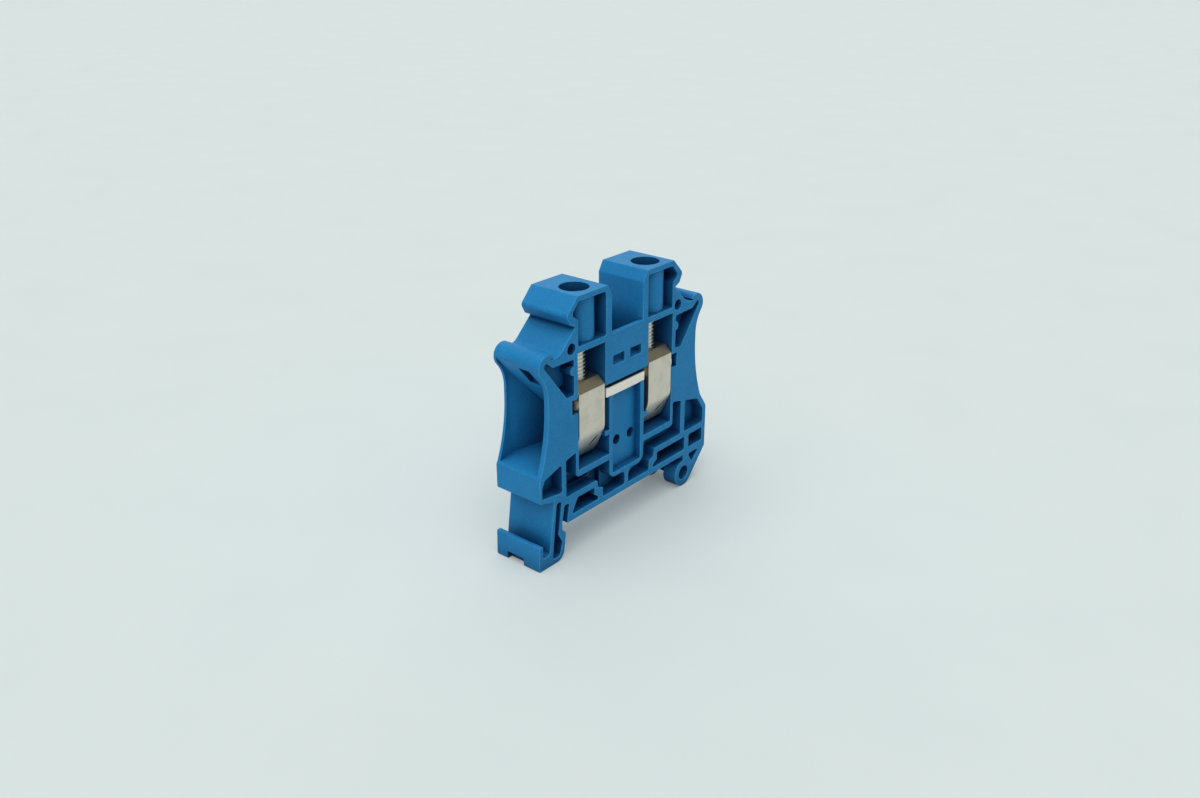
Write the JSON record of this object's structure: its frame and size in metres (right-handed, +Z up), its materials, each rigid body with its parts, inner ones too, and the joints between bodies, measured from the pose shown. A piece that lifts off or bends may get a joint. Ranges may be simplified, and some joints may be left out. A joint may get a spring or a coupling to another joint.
{
  "type": "feed-through terminal block",
  "caption": "Feed-through terminal block that snaps onto a mounting rail: a ribbed blue moulded housing, open at the side, holds screw clamps joined by a flat current bar.",
  "frame": {"origin": "below the middle of the block's length and thickness, at the level that its feet stand on", "axes": "+X along the block from the latch foot to the fixed foot, +Y along the rail away from the open side, +Z up away from the rail"},
  "size_m": [0.0482, 0.0102, 0.0469],
  "materials": {
    "blue_moulding": "matte moulded polyamide",
    "tinned_bar": "tin-plated copper, satin",
    "nickel_strip": "nickel-plated steel strip, satin",
    "zinc_screw": "zinc-plated steel"
  },
  "bodies": {
    "block": {"housing": "blue_moulding", "current_bar": "tinned_bar"},
    "left_screw": {"clamp_screw_left": "zinc_screw"},
    "right_screw": {"clamp_screw_right": "zinc_screw"},
    "left_clamp": {"clamp_sleeve_left": "nickel_strip"},
    "right_clamp": {"clamp_sleeve_right": "nickel_strip"}
  },
  "joints": [
    {"name": "left_screw_turn", "type": "hinge", "parent": "block", "child": "left_screw", "pos_m": [-0.01002, -0.00125, 0.034], "axis": [0, 0, -1], "range_deg": [0, 2520]},
    {"name": "right_screw_turn", "type": "hinge", "parent": "block", "child": "right_screw", "pos_m": [0.00898, -0.00125, 0.034], "axis": [0, 0, -1], "range_deg": [0, 2520]},
    {"name": "left_clamp_lift", "type": "slide", "parent": "block", "child": "left_clamp", "axis": [0, 0, 1], "range_m": [0, 0.0049]},
    {"name": "right_clamp_lift", "type": "slide", "parent": "block", "child": "right_clamp", "axis": [0, 0, 1], "range_m": [0, 0.0049]}
  ],
  "couplings": [
    {"joint": "left_screw_turn", "follows": "left_clamp_lift", "rad_per_m": 8975.9},
    {"joint": "right_screw_turn", "follows": "right_clamp_lift", "rad_per_m": 8975.9}
  ]
}
